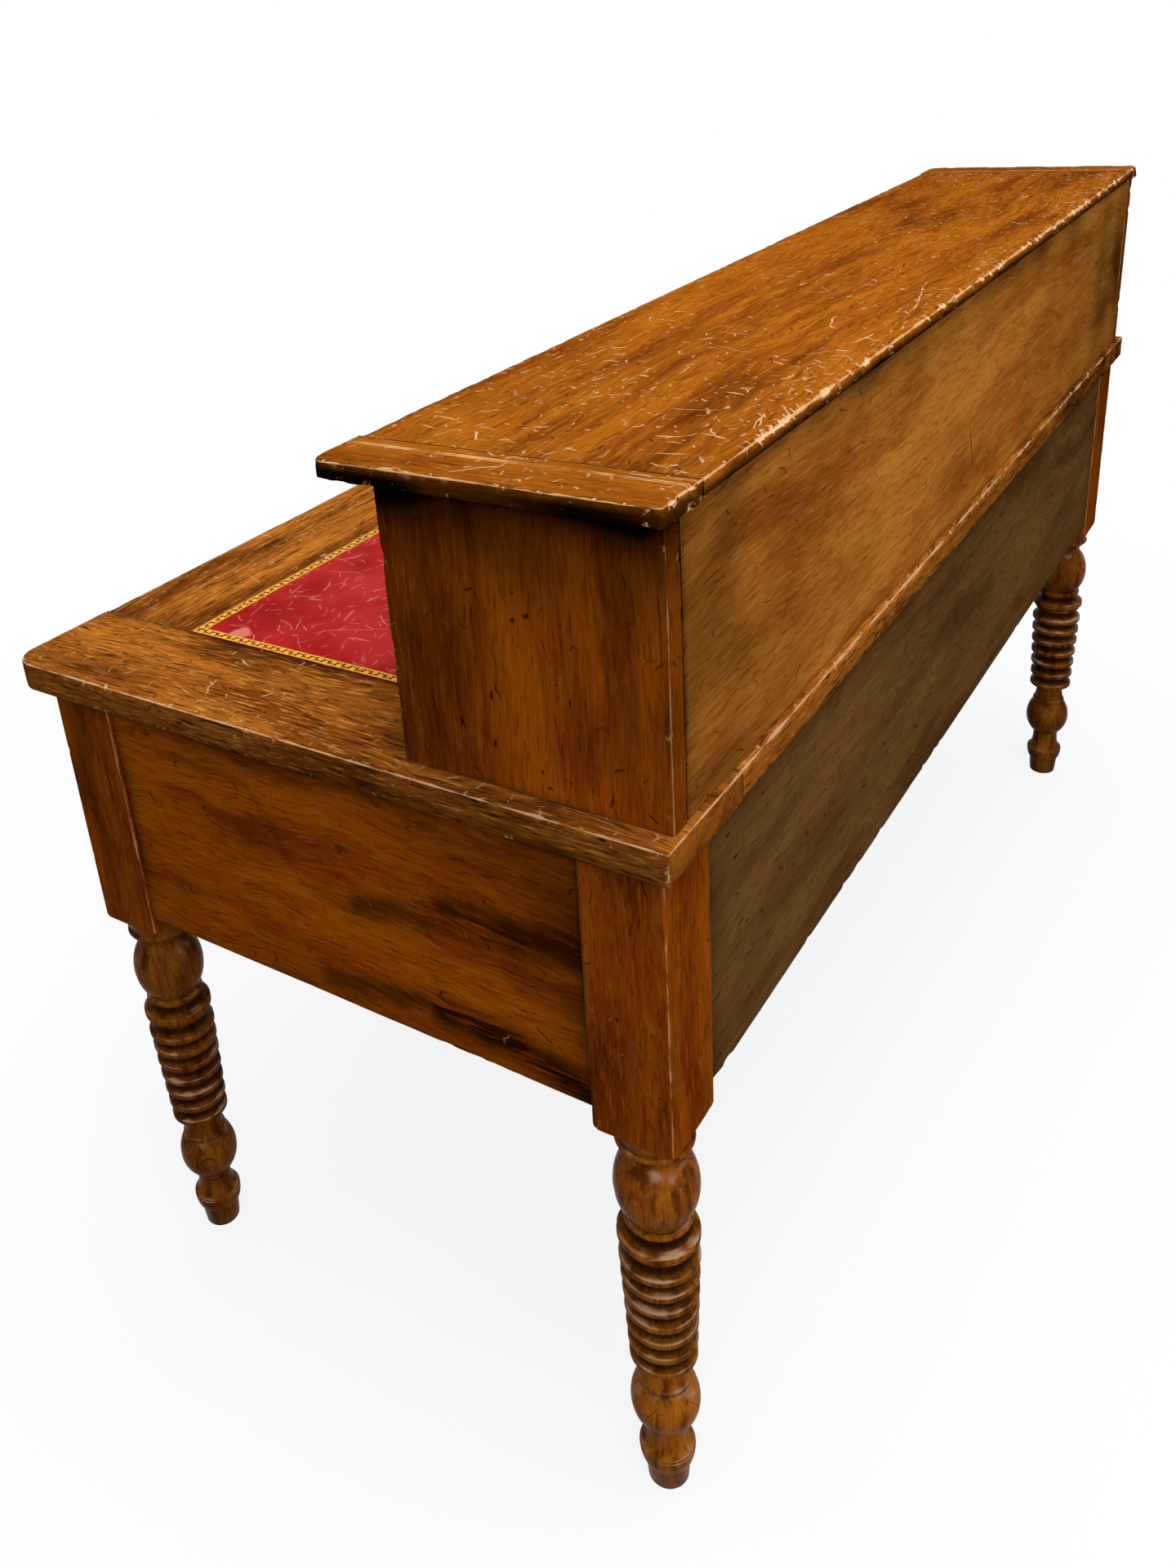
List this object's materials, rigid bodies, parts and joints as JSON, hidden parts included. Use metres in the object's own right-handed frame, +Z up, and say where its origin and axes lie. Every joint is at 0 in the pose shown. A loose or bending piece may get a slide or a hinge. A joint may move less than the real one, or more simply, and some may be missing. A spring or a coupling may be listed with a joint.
{
  "type": "library desk",
  "caption": "Old wooden library desk with ring-turned legs, deep frieze drawers over a kneehole, a red leather writing surface and a raised stationery gallery at the back.",
  "frame": {"origin": "middle of the desk's outline, on the floor", "axes": "+X along the desk to the writer's right, +Y from the writer to the back, +Z up"},
  "size_m": [1.542, 0.73, 1.016],
  "materials": {
    "leg_wood": "worn varnish over reddish brown wood",
    "panel_wood": "worn satin varnish",
    "back_wood": "dull worn varnish",
    "top_wood": "worn polish with scratches and pale edges",
    "gallery_wood": "worn satin varnish",
    "lid_wood": "worn polish with scratches and chipped edges",
    "front_wood": "satin varnish",
    "lining_wood": "bare wood",
    "knob_wood": "polished dark wood",
    "leather": "worn crimson leather with a gilt tooled border"
  },
  "bodies": {
    "desk": {"back_panel": "back_wood", "centre_runner_left": "lining_wood", "centre_runner_right": "lining_wood", "end_panel_left": "panel_wood", "end_panel_right": "panel_wood", "front_centre_rail": "front_wood", "front_lower_rail_left": "front_wood", "front_lower_rail_right": "front_wood", "front_top_rail": "front_wood", "gallery_back": "gallery_wood", "gallery_pigeonhole_left": "gallery_wood", "gallery_pigeonhole_right": "gallery_wood", "gallery_shelf": "gallery_wood", "gallery_side_left": "gallery_wood", "gallery_side_right": "gallery_wood", "gallery_upright_left": "gallery_wood", "gallery_upright_right": "gallery_wood", "kneehole_partition_left": "front_wood", "kneehole_partition_right": "front_wood", "left_runner_inner": "lining_wood", "left_runner_outer": "lining_wood", "leg_back_left": "leg_wood", "leg_back_right": "leg_wood", "leg_front_left": "leg_wood", "leg_front_right": "leg_wood", "lid_board": "lid_wood", "lid_clamp_left": "lid_wood", "lid_clamp_right": "lid_wood", "right_runner_inner": "lining_wood", "right_runner_outer": "lining_wood", "top_back_board": "top_wood", "top_centre_board": "top_wood", "top_clamp_left": "top_wood", "top_clamp_right": "top_wood", "top_front_board": "top_wood", "writing_leather": "leather"},
    "left_drawer": {"left_drawer_back": "lining_wood", "left_drawer_bottom": "lining_wood", "left_drawer_front": "front_wood", "left_drawer_knob_left": "knob_wood", "left_drawer_knob_right": "knob_wood", "left_drawer_side_left": "lining_wood", "left_drawer_side_right": "lining_wood"},
    "centre_drawer": {"centre_drawer_back": "lining_wood", "centre_drawer_bottom": "lining_wood", "centre_drawer_front": "front_wood", "centre_drawer_knob_left": "knob_wood", "centre_drawer_knob_right": "knob_wood", "centre_drawer_side_left": "lining_wood", "centre_drawer_side_right": "lining_wood"},
    "right_drawer": {"right_drawer_back": "lining_wood", "right_drawer_bottom": "lining_wood", "right_drawer_front": "front_wood", "right_drawer_knob_left": "knob_wood", "right_drawer_knob_right": "knob_wood", "right_drawer_side_left": "lining_wood", "right_drawer_side_right": "lining_wood"}
  },
  "joints": [
    {"name": "left_drawer_slide", "type": "slide", "parent": "desk", "child": "left_drawer", "axis": [0, -1, 0], "range_m": [0, 0.4]},
    {"name": "centre_drawer_slide", "type": "slide", "parent": "desk", "child": "centre_drawer", "axis": [0, -1, 0], "range_m": [0, 0.4]},
    {"name": "right_drawer_slide", "type": "slide", "parent": "desk", "child": "right_drawer", "axis": [0, -1, 0], "range_m": [0, 0.4]}
  ]
}
